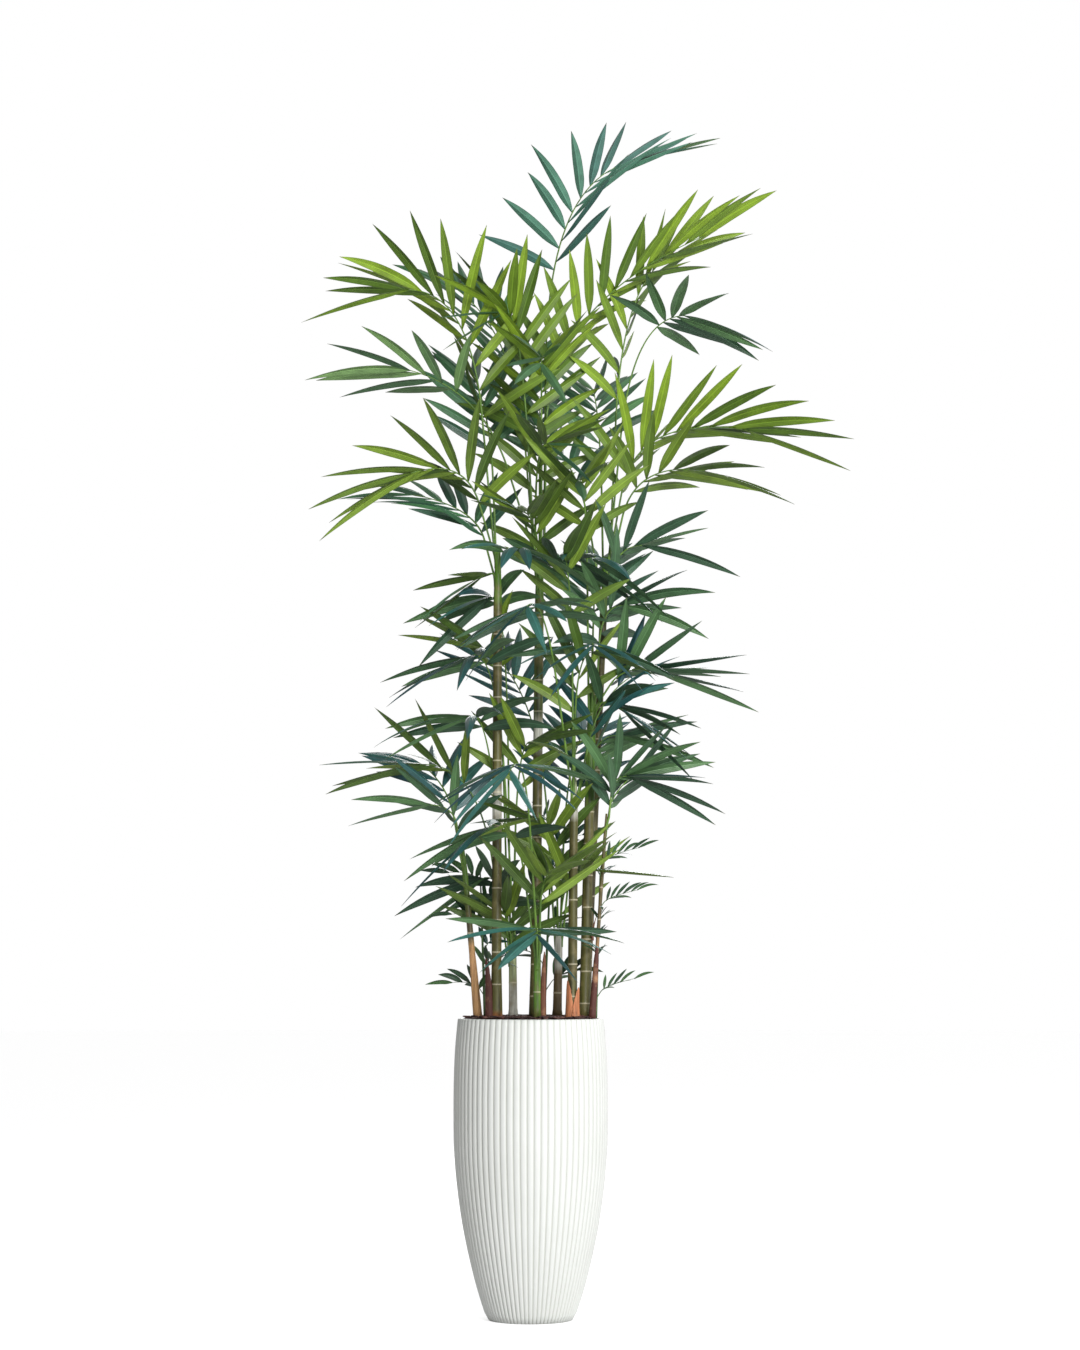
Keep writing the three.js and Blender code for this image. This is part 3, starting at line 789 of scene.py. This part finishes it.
# %% Husks
Husk = namedtuple("Husk", "cane base height at lean radius facing wrap colour")
HUSKS = [
    Husk("left_cane", 0, 0.135, (-0.0155, -0.005), (-0.004, -0.003), 0.0095, 230, 250, "wine"),
    Husk("middle_cane", 0, 0.15, (0.0175, -0.012), (0.003, -0.002), 0.008, 260, 230, "bark"),
    Husk("sheathed_cane", 0, 0.085, (-0.001, -0.001), (-0.004, -0.004), 0.0155, 230, 130, "rust"),
    Husk("sheathed_cane", 0, 0.07, (0.001, -0.001), (0.005, -0.004), 0.0165, 320, 120, "rust"),
    Husk("leaning_cane", 0, 0.17, (0, 0), (0, 0), 0.0098, 270, 300, "tan"),
    Husk("thin_stem", 0, 0.16, (0, 0), (0, 0), 0.0075, 270, 330, "wine"),
    Husk("right_cane", 0, 0.05, (0, 0), (0.002, -0.002), 0.0145, 285, 140, "wine"),
    Husk("olive_cane", 0.175, 0.055, (0.005, -0.002), (0.01, 0), 0.0125, 350, 110, "bark"),
]
HUSK_ACROSS = 12
HUSK_UP = 16
HUSK_THICKNESS = 0.0009
HUSK_TIP_SHARE = 0.6
HUSK_NARROWING = 0.86
HUSK_RAGGED = (0.8, 1)
HUSK_SEED = 11


def direction(heading):
    """The level direction at an angle in degrees, which is 0 on the right and 90 at the back."""
    return Vector((cos(radians(heading)), sin(radians(heading)), 0))


def husk_template():
    """A flat grid that reaches from -0.5 to 0.5 across and from 0 to 1 upwards."""
    bm = bmesh.new()
    bmesh.ops.create_grid(bm, x_segments=HUSK_ACROSS, y_segments=HUSK_UP, size=0.5)
    bmesh.ops.translate(bm, verts=bm.verts, vec=(0, 0.5, 0))
    smooth_faces(bm)
    return mesh_of("husk", bm)


def add_husk(bm, template, husk, draw):
    """Rolls the grid round the husk's axis. ragged has how far each row reaches on each side."""
    cane = CANES[husk.cane]
    ragged = [[draw.uniform(*HUSK_RAGGED) for _ in range(HUSK_UP + 1)] for _ in range(2)]

    def place(co):
        across, up = co.x, co.y
        narrowing = (1 - HUSK_NARROWING * up ** 3) * ragged[across <= 0][round(up * HUSK_UP)]
        height = husk.base + husk.height * up
        axis = cane_axis(cane, height / cane_height(cane))
        axis += Vector((*husk.at, 0)) + Vector((*husk.lean, 0)) * up ** 2
        out = direction(husk.facing + husk.wrap * across * narrowing)
        return axis + out * (husk.radius * mix(1, HUSK_TIP_SHARE, up))

    return add_copy(bm, template, place)


def husk_colour(tree):
    fibres = noise(tree, 300, 4, stretch=(1, 1, 0.05))
    skin = attribute(tree, "skin", "Color")
    fibrous = mixed(tree, skin, shade(72, 40, 30), fibres, 0.4, 0.85)
    return mixed(tree, fibrous, shade(196, 148, 108), noise(tree, 45, 3), 0.55, 0.85), fibres


def husk_meshes():
    bm = bmesh.new()
    skins = bm.verts.layers.float_color.new("skin")
    template = husk_template()
    draw = random.Random(HUSK_SEED)
    for husk in HUSKS:
        for vert in add_husk(bm, template, husk, draw):
            vert[skins] = SKIN[husk.colour]
    bmesh.ops.recalc_face_normals(bm, faces=bm.faces)
    bmesh.ops.solidify(bm, geom=bm.faces[:], thickness=HUSK_THICKNESS)
    bmesh.ops.recalc_face_normals(bm, faces=bm.faces)
    return bm


husk_fibre = coated("husk_fibre", husk_colour, roughness=0.7, strength=0.5, distance=0.001)
finished_piece("husks", husk_meshes(), [husk_fibre])

# %% [markdown]
# ## The way a frond grows
#
# A frond leaves the side of its cane, rises nearly straight and then arches over. The path below
# is straight up to half-way to its bend, and then a smooth curve that starts towards the bend and
# ends at the frond's tip. The leafy face is rolled a little towards the light. A full frond's foot
# is read from its solid, so that both stand in the same place, and a young one starts on its
# cane's axis.

# %% Paths of the fronds
SOURCE_STEPS = 7
SPRAY_STEPS = 3
FIRST_DROP = 0.008
DROP_STEP = 0.014
FACE_TURN = 28
SPRAY_FACE_TURN = 50
LENGTH_PARTS = 20
CORNER_DIGITS = 5
UP = Vector((0, 0, 1))
Place = namedtuple("Place", "at along side up")


def frond_path(seat, frond, turn, steps):
    """A function that gives the place and the directions at a share of the way along the rib."""
    out = direction(frond.heading)
    bend = seat + out * frond.lean + UP * frond.rise
    end = seat + out * frond.reach + UP * (frond.rise - frond.dip)
    spring = seat.lerp(bend, 0.5)
    away = 1 if 0 < frond.heading < 180 else -1
    roll = radians(turn * cos(radians(frond.heading)) * away)

    def place(share):
        t = max(0, (share * steps - 1) / (steps - 1))
        start = seat.lerp(spring, min(1, share * steps))
        at = start * (1 - t) ** 2 + bend * (2 * t * (1 - t)) + end * t ** 2
        along = ((bend - spring) * (1 - t) + (end - bend) * t).normalized()
        side = Quaternion(along, roll) @ direction(frond.heading + 90)
        return Place(at, along, side, along.cross(side).normalized())

    return place


def seat_of(name, centre):
    """The middle of a rib's foot: its solid's three corners that are nearest to the cane's axis."""
    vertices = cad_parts[name].data.vertices
    corners = {tuple(round(value, CORNER_DIGITS) for value in vert.co) for vert in vertices}
    nearest = sorted(map(Vector, corners), key=lambda corner: (corner - centre).length)[:3]
    return sum(nearest, Vector()) / 3


def path_length(path, share):
    """The length of a path from a share of it to its end."""
    shares = [mix(share, 1, i / LENGTH_PARTS) for i in range(LENGTH_PARTS + 1)]
    points = [path(share).at for share in shares]
    return sum((b - a).length for a, b in zip(points, points[1:]))


# %% All ribs of the plant
Rib = namedtuple("Rib", "name cane frond path foot_share steps scale")
SPRAY_SCALE = 0.5


def rib_of(name, cane, n, row):
    """The rib of a cane's frond number n, counted from the tip. Young ones come last."""
    frond = Frond(*row)
    share = 1 - (FIRST_DROP + DROP_STEP * n) / cane_height(cane)
    seat = cane_axis(cane, share)
    if n < len(cane.fronds):
        name = f"{name}_frond_{n + 1}"
        seat = seat_of(name, seat)
    path = frond_path(seat, frond, FACE_TURN, SOURCE_STEPS)
    return Rib(name, cane, frond, path, share, SOURCE_STEPS, 1)


def rib_plans():
    ribs = []
    for name, cane in CANES.items():
        for n, row in enumerate(cane.fronds + cane.young):
            ribs.append(rib_of(name, cane, n, row))
    for name, seedling in SEEDLINGS.items():
        for height, heading in seedling.sprays:
            frond = Frond(heading, *seedling.spray)
            share = height / cane_height(seedling)
            path = frond_path(cane_axis(seedling, share), frond, SPRAY_FACE_TURN, SPRAY_STEPS)
            ribs.append(Rib(name, seedling, frond, path, share, SPRAY_STEPS, SPRAY_SCALE))
    return ribs


RIBS = rib_plans()
print(len(RIBS), "ribs")

# %% [markdown]
# ## Ribs
#
# A palm's leaf stalk is round below and channelled above, and its foot widens into a sheath that
# clasps the cane. The strand therefore starts inside the cane's skin below the seat, comes out of
# it, and then follows the frond's path, getting thinner. All the canes' ribs are one mesh, and the
# seedlings' stems and ribs are another.

# %% Ribs and seedling stems
RIB_FOOT_RADIUS = 0.0027
RIB_TIP_RADIUS = 0.0011
RIB_SIDES = 8
RIB_POINTS = 30
SHEATH_DROP = 0.03
SHEATH_POINTS = 5
SHEATH_WIDENING = 1.5
SHEATH_HOLLOW = 0.001
LOWEST_SHEATH = 0.01
RIB_CROWDING = 1.15
RIB_FLATNESS = 0.6
STEM_RADIUS = 0.0035
STEM_TOP_SHARE = 0.45
STEM_STEPS = 24


def sheath_points(rib, seat):
    """Points up the cane's side from inside its skin to the rib's seat."""
    share_below = max(LOWEST_SHEATH, rib.foot_share - SHEATH_DROP / cane_height(rib.cane))
    inside = cane_axis(rib.cane, share_below)
    out = seat - cane_axis(rib.cane, rib.foot_share)
    out.z = 0
    out.normalize()
    start = inside + out * (cane_radius(rib.cane, share_below) - RIB_FOOT_RADIUS)
    shares = [i / SHEATH_POINTS for i in range(SHEATH_POINTS)]
    return [start.lerp(seat, t) - out * (SHEATH_HOLLOW * sin(pi * t)) for t in shares]


def add_rib(bm, rib):
    shares = [(i / RIB_POINTS) ** RIB_CROWDING for i in range(RIB_POINTS + 1)]
    points = [rib.path(share).at for share in shares]
    radii = [mix(RIB_FOOT_RADIUS, RIB_TIP_RADIUS, share) * rib.scale for share in shares]
    if "_frond_" in rib.name:
        points = sheath_points(rib, points[0]) + points
        widths = [mix(SHEATH_WIDENING, 1, i / SHEATH_POINTS) for i in range(SHEATH_POINTS)]
        radii = [RIB_FOOT_RADIUS * width for width in widths] + radii
    return add_strand(bm, points, radii, rib.path(0.5).side, RIB_SIDES, RIB_FLATNESS)


def add_stem(bm, seedling):
    shares = [i / STEM_STEPS for i in range(STEM_STEPS + 1)]
    points = [cane_axis(seedling, share) for share in shares]
    radii = [STEM_RADIUS * mix(1, STEM_TOP_SHARE, share) for share in shares]
    return add_strand(bm, points, radii, Vector((1, 0, 0)), RIB_SIDES)


def rind_colour(tree, young, old):
    freckles = noise(tree, 60, 4, stretch=(1, 1, 0.3))
    grain = noise(tree, 220, 3, stretch=(1, 1, 0.1))
    return mixed(tree, young, old, freckles, 0.35, 0.7), grain


def rind(name, young, old):
    sizes = {"roughness": 0.42, "strength": 0.2, "distance": 0.0005}
    return coated(name, rind_colour, **sizes, young=young, old=old)


ribs_bm = bmesh.new()
stems_bm = bmesh.new()
for rib in RIBS:
    add_rib(stems_bm if rib.frond.finish == "seedling" else ribs_bm, rib)
for seedling in SEEDLINGS.values():
    add_stem(stems_bm, seedling)

frond_nodes = sorted({rib.name for rib in RIBS if "_frond_" in rib.name})
rib_rind = rind("rib_rind", shade(112, 150, 58), shade(78, 112, 48))
stem_rind = rind("stem_rind", shade(88, 122, 66), shade(58, 84, 48))
ribs = finished_piece("ribs", ribs_bm, [rib_rind], frond_nodes)
stems = finished_piece("seedling_stems", stems_bm, [stem_rind], list(SEEDLINGS))

# %% [markdown]
# ## One leaflet
#
# A leaflet is a narrow strap, folded along its midrib, with a slim foot and a long point. There
# will be many hundreds, so the template has few faces: a grid, two faces wide, is extruded down
# once, and the two layers are merged along their edges. Its upper and lower faces have materials
# of their own, because a palm leaf is another green below. The fold and the edges are kept sharp.

# %% The leaflet's template
BLADE_ALONG = 12
PROBE_ALONG = 4


def blade_template(name, along):
    """x runs across from -1 to 1, y along from 0 to 1, and only the midrib below is at z -1."""
    bm = bmesh.new()
    bmesh.ops.create_grid(bm, x_segments=2, y_segments=along, size=1)
    for vert in bm.verts:
        vert.co.y = (vert.co.y + 1) / 2
    extruded = bmesh.ops.extrude_face_region(bm, geom=bm.faces[:], use_keep_orig=True)["geom"]
    for part in extruded:
        if isinstance(part, bmesh.types.BMVert) and round(part.co.x) == 0:
            part.co.z = -1
    bmesh.ops.remove_doubles(bm, verts=bm.verts, dist=MERGE_WITHIN)
    bmesh.ops.recalc_face_normals(bm, faces=bm.faces)
    veins = bm.loops.layers.uv.new("veins")
    for face in bm.faces:
        face.smooth = True
        face.material_index = 0 if face.normal.z > 0.5 else 1
        for loop in face.loops:
            loop[veins].uv = ((loop.vert.co.x + 1) / 2, loop.vert.co.y)
    for edge in bm.edges:
        edge.smooth = len({round(vert.co.x) for vert in edge.verts}) > 1
    return mesh_of(name, bm)


BLADE = blade_template("blade", BLADE_ALONG)
PROBE = blade_template("probe", PROBE_ALONG)
print("a leaflet has", len(BLADE.polygons), "faces and", len(BLADE.vertices), "corners")

# %% [markdown]
# ## Colours and habits
#
# The leaves are printed cloth with a waxy coat: blue green above and yellow green below. Fronds
# differ in two ways, each one row of sizes here. The colour set goes from a fresh spring green to
# a deep sea green. The habit says how the leaflets stand: a plume's stand up in a V and are many
# and narrow, a crest's are more widely set, a fan's arch over, a star's lie flat round a short hub,
# and a hand's hang down from one like fingers. Sprays and sprigs are the seedlings' small fronds.

# %% Colour sets of upper and under faces, and habits
FINISHES = {
    "crown": (shade(72, 118, 106), shade(92, 126, 80)),
    "spring": (shade(64, 108, 68), shade(104, 134, 32)),
    "forest": (shade(54, 98, 68), shade(98, 126, 42)),
    "sea": (shade(44, 92, 92), shade(68, 104, 68)),
    "seedling": (shade(32, 74, 64), shade(52, 88, 50)),
}
Habit = namedtuple("Habit", "half_width spread lift arch sag finer spacing")
HABITS = {
    "plume": Habit(0.0112, (56, 15), (36, 4), 0.05, 0.09, 1.25, 0.04),
    "crest": Habit(0.0118, (60, 18), (24, 2), 0.04, 0.07, 1, 0.045),
    "fan": Habit(0.0116, (58, 16), (18, -6), 0.05, 0.11, 1.1, 0.032),
    "star": Habit(0.0125, (88, 20), (12, -8), 0.06, 0.14, 1.25, 0.022),
    "hand": Habit(0.0125, (80, 28), (-8, -18), 0.08, 0.2, 1, 0.026),
    "spray": Habit(0.0068, (56, 15), (36, 4), 0.2, 0.15, 1.35, 0.014),
    "sprig": Habit(0.0034, (50, 15), (36, 4), 0.2, 0.15, 1.6, 0.012),
}
TONES = [(0.58, 0.66, 0.76), (1.0, 1.0, 1.0), (1.5, 1.4, 1.2)]

# %% [markdown]
# ## Leaflets along a rib
#
# Leaflets leave the rib in staggered pairs. The first ones spread widely and stand up from the
# rib, and the last ones point nearly straight on. Each one has its own small differences.

# %% The plan of each leaflet
PAIR_STAGGER = 0.35
LAST_PAIR_AT = 0.985
SPREAD_VARIES = 6
LIFT_VARIES = 9
FIRST_LEAF_SHARE = 0.84
LEAF_VARIES = 0.09
TWIST = 34
SWAY = 0.05
BEND = (0.6, 1.4)
Leaflet = namedtuple("Leaflet", "place habit hand spread lift length twist sway bend tone")


def leaflets_of(rib, seed):
    """The plans of all leaflets of one rib, by the rule that its solid follows."""
    frond = rib.frond
    habit = HABITS[frond.habit]
    pairs = max(2, round(frond.pairs * habit.finer))
    arch_from = 1 / rib.steps
    leafy = min(1, pairs * habit.spacing / path_length(rib.path, arch_from))
    draw = random.Random(seed)
    plans = []
    for k in range(pairs):
        for hand in (1, -1):
            u = min(1, (k + (0 if hand == 1 else PAIR_STAGGER)) / (pairs - 1))
            length = frond.leaf * mix(FIRST_LEAF_SHARE, 1, min(1, 2 * u))
            length *= 1 + draw.uniform(-LEAF_VARIES, LEAF_VARIES)
            plans.append(Leaflet(
                place=rib.path(mix(1 - leafy * (1 - arch_from), LAST_PAIR_AT, u)),
                habit=habit,
                hand=hand,
                spread=radians(mix(*habit.spread, u) + draw.uniform(-1, 1) * SPREAD_VARIES),
                lift=radians(mix(*habit.lift, u) + draw.uniform(-1, 1) * LIFT_VARIES),
                length=length,
                twist=radians(draw.uniform(-TWIST, TWIST)),
                sway=draw.uniform(-SWAY, SWAY),
                bend=draw.uniform(*BEND),
                tone=draw.randrange(len(TONES)),
            ))
    return plans


def leaflet_axes(leaflet, turn):
    """The directions along, across and out of a leaflet's face, lifted by a further turn."""
    lift = leaflet.lift + radians(turn)
    place, hand = leaflet.place, leaflet.hand
    outward = place.side * (hand * cos(lift)) + place.up * sin(lift)
    along = place.along * cos(leaflet.spread) + outward * sin(leaflet.spread)
    along.normalize()
    face = place.up * cos(lift) - place.side * (hand * sin(lift))
    face = (face - along * face.dot(along)).normalized()
    return along, along.cross(face).normalized(), face


# %% [markdown]
# ## Bending the template into a leaflet
#
# The strap widens quickly from its foot, keeps its width to past the middle and runs out in a long
# point. Its halves slope down from the midrib. It arches up and over, sags towards its tip, sways
# to one side and twists a little, so that now its blue face shows and now its green one.

# %% From template to leaflet
MIDRIB_THICKNESS = 0.0016
MIDRIB_TIP_SHARE = 0.3
FOLD = 0.42
FOOT_HALF_WIDTH = 0.0014
TIP_HALF_WIDTH = 0.0002
FULL_FROM = 0.3
FULL_TO = 0.45
FOOT_FULLNESS = 0.8


def blade_outline(share):
    """The share of its full width that a leaflet has at a share of its length."""
    if share < FULL_FROM:
        return sin(pi / 2 * share / FULL_FROM) ** FOOT_FULLNESS
    if share < FULL_TO:
        return 1
    return 1 - ((share - FULL_TO) / (1 - FULL_TO)) ** 2


def leaflet_place(leaflet, turn):
    """The function that bends the template into this leaflet."""
    along, across, face = leaflet_axes(leaflet, turn)
    habit, root, length = leaflet.habit, leaflet.place.at, leaflet.length
    level = hypot(along.x, along.y)
    arch = length * habit.arch * leaflet.bend * level
    sag = length * habit.sag * leaflet.bend

    def place(co):
        share = co.y
        half_width = mix(FOOT_HALF_WIDTH, TIP_HALF_WIDTH, share)
        half_width = max(half_width, habit.half_width * blade_outline(share))
        offset = co.x * half_width
        height = co.z * MIDRIB_THICKNESS * mix(1, MIDRIB_TIP_SHARE, share) - FOLD * abs(offset)
        twist = leaflet.twist * share
        wide = across * cos(twist) + face * sin(twist)
        high = face * cos(twist) - across * sin(twist)
        raised = arch * share * (1 - share) - sag * share ** 2
        swayed = length * leaflet.sway * share ** 2
        middle = root + along * (length * share) + UP * raised + across * swayed
        return middle + wide * offset + high * height

    return place


# %% [markdown]
# ## Keeping the leaflets apart
#
# No leaflet may pass through a cane, a rib or another leaflet. Each one is tried with a coarse
# probe of its shape, which starts a little way out from its own rib. Where the probe meets
# something, the leaflet is lifted or lowered until it is clear, and it is left out if nothing
# helps.

# %% Probes and turns
TURNS_TRIED = [0, 8, -8, 16, -16, 24, -24, 32, -32]
CLEAR_OF_RIB = 0.06


def probe_of(leaflet, turn):
    """The search tree of a coarse copy of the leaflet, and its box."""
    place = leaflet_place(leaflet, turn)
    bm = bmesh.new()
    add_copy(bm, PROBE, lambda co: place(Vector((co.x, mix(CLEAR_OF_RIB, 1, co.y), co.z))))
    corners = [vert.co for vert in bm.verts]
    low, high = ([end(co[axis] for co in corners) for axis in range(3)] for end in (min, max))
    tree = BVHTree.FromBMesh(bm)
    bm.free()
    return tree, low, high


def limb_tree():
    """One search tree of all canes, ribs and stems, and the pot."""
    bm = bmesh.new()
    for limb in [bpy.data.objects[name + "_skin"] for name in CANES] + [ribs, stems, pot]:
        bm.from_mesh(limb.data)
    tree = BVHTree.FromBMesh(bm)
    bm.free()
    return tree


def is_clear(probe, placed):
    """Whether a probe touches none of those placed, of which only the ones near it are tried."""
    tree, low, high = probe
    for other, other_low, other_high in placed:
        apart = any(low[i] > other_high[i] or high[i] < other_low[i] for i in range(3))
        if not apart and tree.overlap(other):
            return False
    return True


def first_clear_turn(leaflet, limbs, placed):
    """The first turn tried at which the leaflet touches nothing, and its probe."""
    for turn in TURNS_TRIED:
        probe = probe_of(leaflet, turn)
        if not probe[0].overlap(limbs) and is_clear(probe, placed):
            return turn, probe
    return None, None


# %% Leaf materials
VEINS = 7
VEIN_PALENESS = 1.5
VEIN_GREY = 0.012
SHADOW_SHARE = 0.6
ROUGHNESS = {"upper": 0.34, "under": 0.46}


def leaf_colour(tree, base, tone):
    """Clouds, pale veins, painted shade on the edges, a pale midrib and a dry point, and the veins'
    relief.
    """
    plain = [min(1, channel * share) for channel, share in zip(base, tone)]
    darker = [*(channel * SHADOW_SHARE for channel in plain), 1]
    lighter = [*(min(1, channel * VEIN_PALENESS + VEIN_GREY) for channel in plain), 1]
    veins_map = node(tree, "UVMap", uv_map="veins")
    across = node(tree, "SeparateXYZ", {0: veins_map})
    along = node(tree, "SeparateXYZ", {0: veins_map}, 1)
    angle = node(tree, "Math", {0: across, 1: VEINS * 2 * pi}, operation="MULTIPLY")
    stripe = node(tree, "Math", {0: angle}, operation="COSINE")
    off_middle = node(tree, "Math", {0: across, 1: 0.5}, operation="SUBTRACT")
    sideways = node(tree, "Math", {0: off_middle}, operation="ABSOLUTE")
    colour = mixed(tree, [*plain, 1], darker, noise(tree, 26, 4), 0.4, 0.75)
    colour = mixed(tree, colour, lighter, stripe, 0.4, 1.8)
    # The edges are mixed toward the darker colour: painted shade where the folded halves slope
    # away.
    colour = mixed(tree, colour, darker, sideways, 0.36, 0.56)
    colour = mixed(tree, colour, lighter, sideways, 0.07, 0)
    return mixed(tree, colour, shade(120, 104, 66), along, 0.94, 1.04), stripe


def leaf_materials(name):
    """A colour set's materials: for each tone that of the upper faces and that of the under."""
    return [
        coated(
            f"{name}_{side}_{number}", leaf_colour, roughness=ROUGHNESS[side], strength=0.3,
            distance=0.0005, base=base, tone=tone,
        )
        for number, tone in enumerate(TONES)
        for side, base in zip(ROUGHNESS, FINISHES[name])
    ]


# %% All leaflets
def add_leaflet(bm, leaflet, turn):
    first = len(bm.faces)
    add_copy(bm, BLADE, leaflet_place(leaflet, turn))
    bm.faces.ensure_lookup_table()
    for face in bm.faces[first:]:
        face.material_index += 2 * leaflet.tone


def grow_leaflets():
    """Adds the clear leaflets of every rib to the mesh of its colour set."""
    meshes = {name: bmesh.new() for name in FINISHES}
    limbs = limb_tree()
    placed = []
    skipped = 0
    for seed, rib in enumerate(RIBS):
        for leaflet in leaflets_of(rib, seed):
            turn, probe = first_clear_turn(leaflet, limbs, placed)
            if probe is None:
                skipped += 1
                continue
            placed.append(probe)
            add_leaflet(meshes[rib.frond.finish], leaflet, turn)
    print(len(placed), "leaflets,", skipped, "left out")
    return meshes


for name, bm in grow_leaflets().items():
    names = sorted({rib.name for rib in RIBS if rib.frond.finish == name} - set(CANES))
    finished_piece(f"{name}_leaflets", bm, leaf_materials(name), names)

# %% [markdown]
# ## The end
#
# The last cell works out the box of the finished pieces and sets it beside the box of the solids,
# so that they can be compared, and prints it.

# %% Sizes
visual_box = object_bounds()
boxes = {"cad": cad_box, "visual": visual_box}
boxes = {name: [list(corner) for corner in box] for name, box in boxes.items()}
print("visual box:", boxes["visual"])
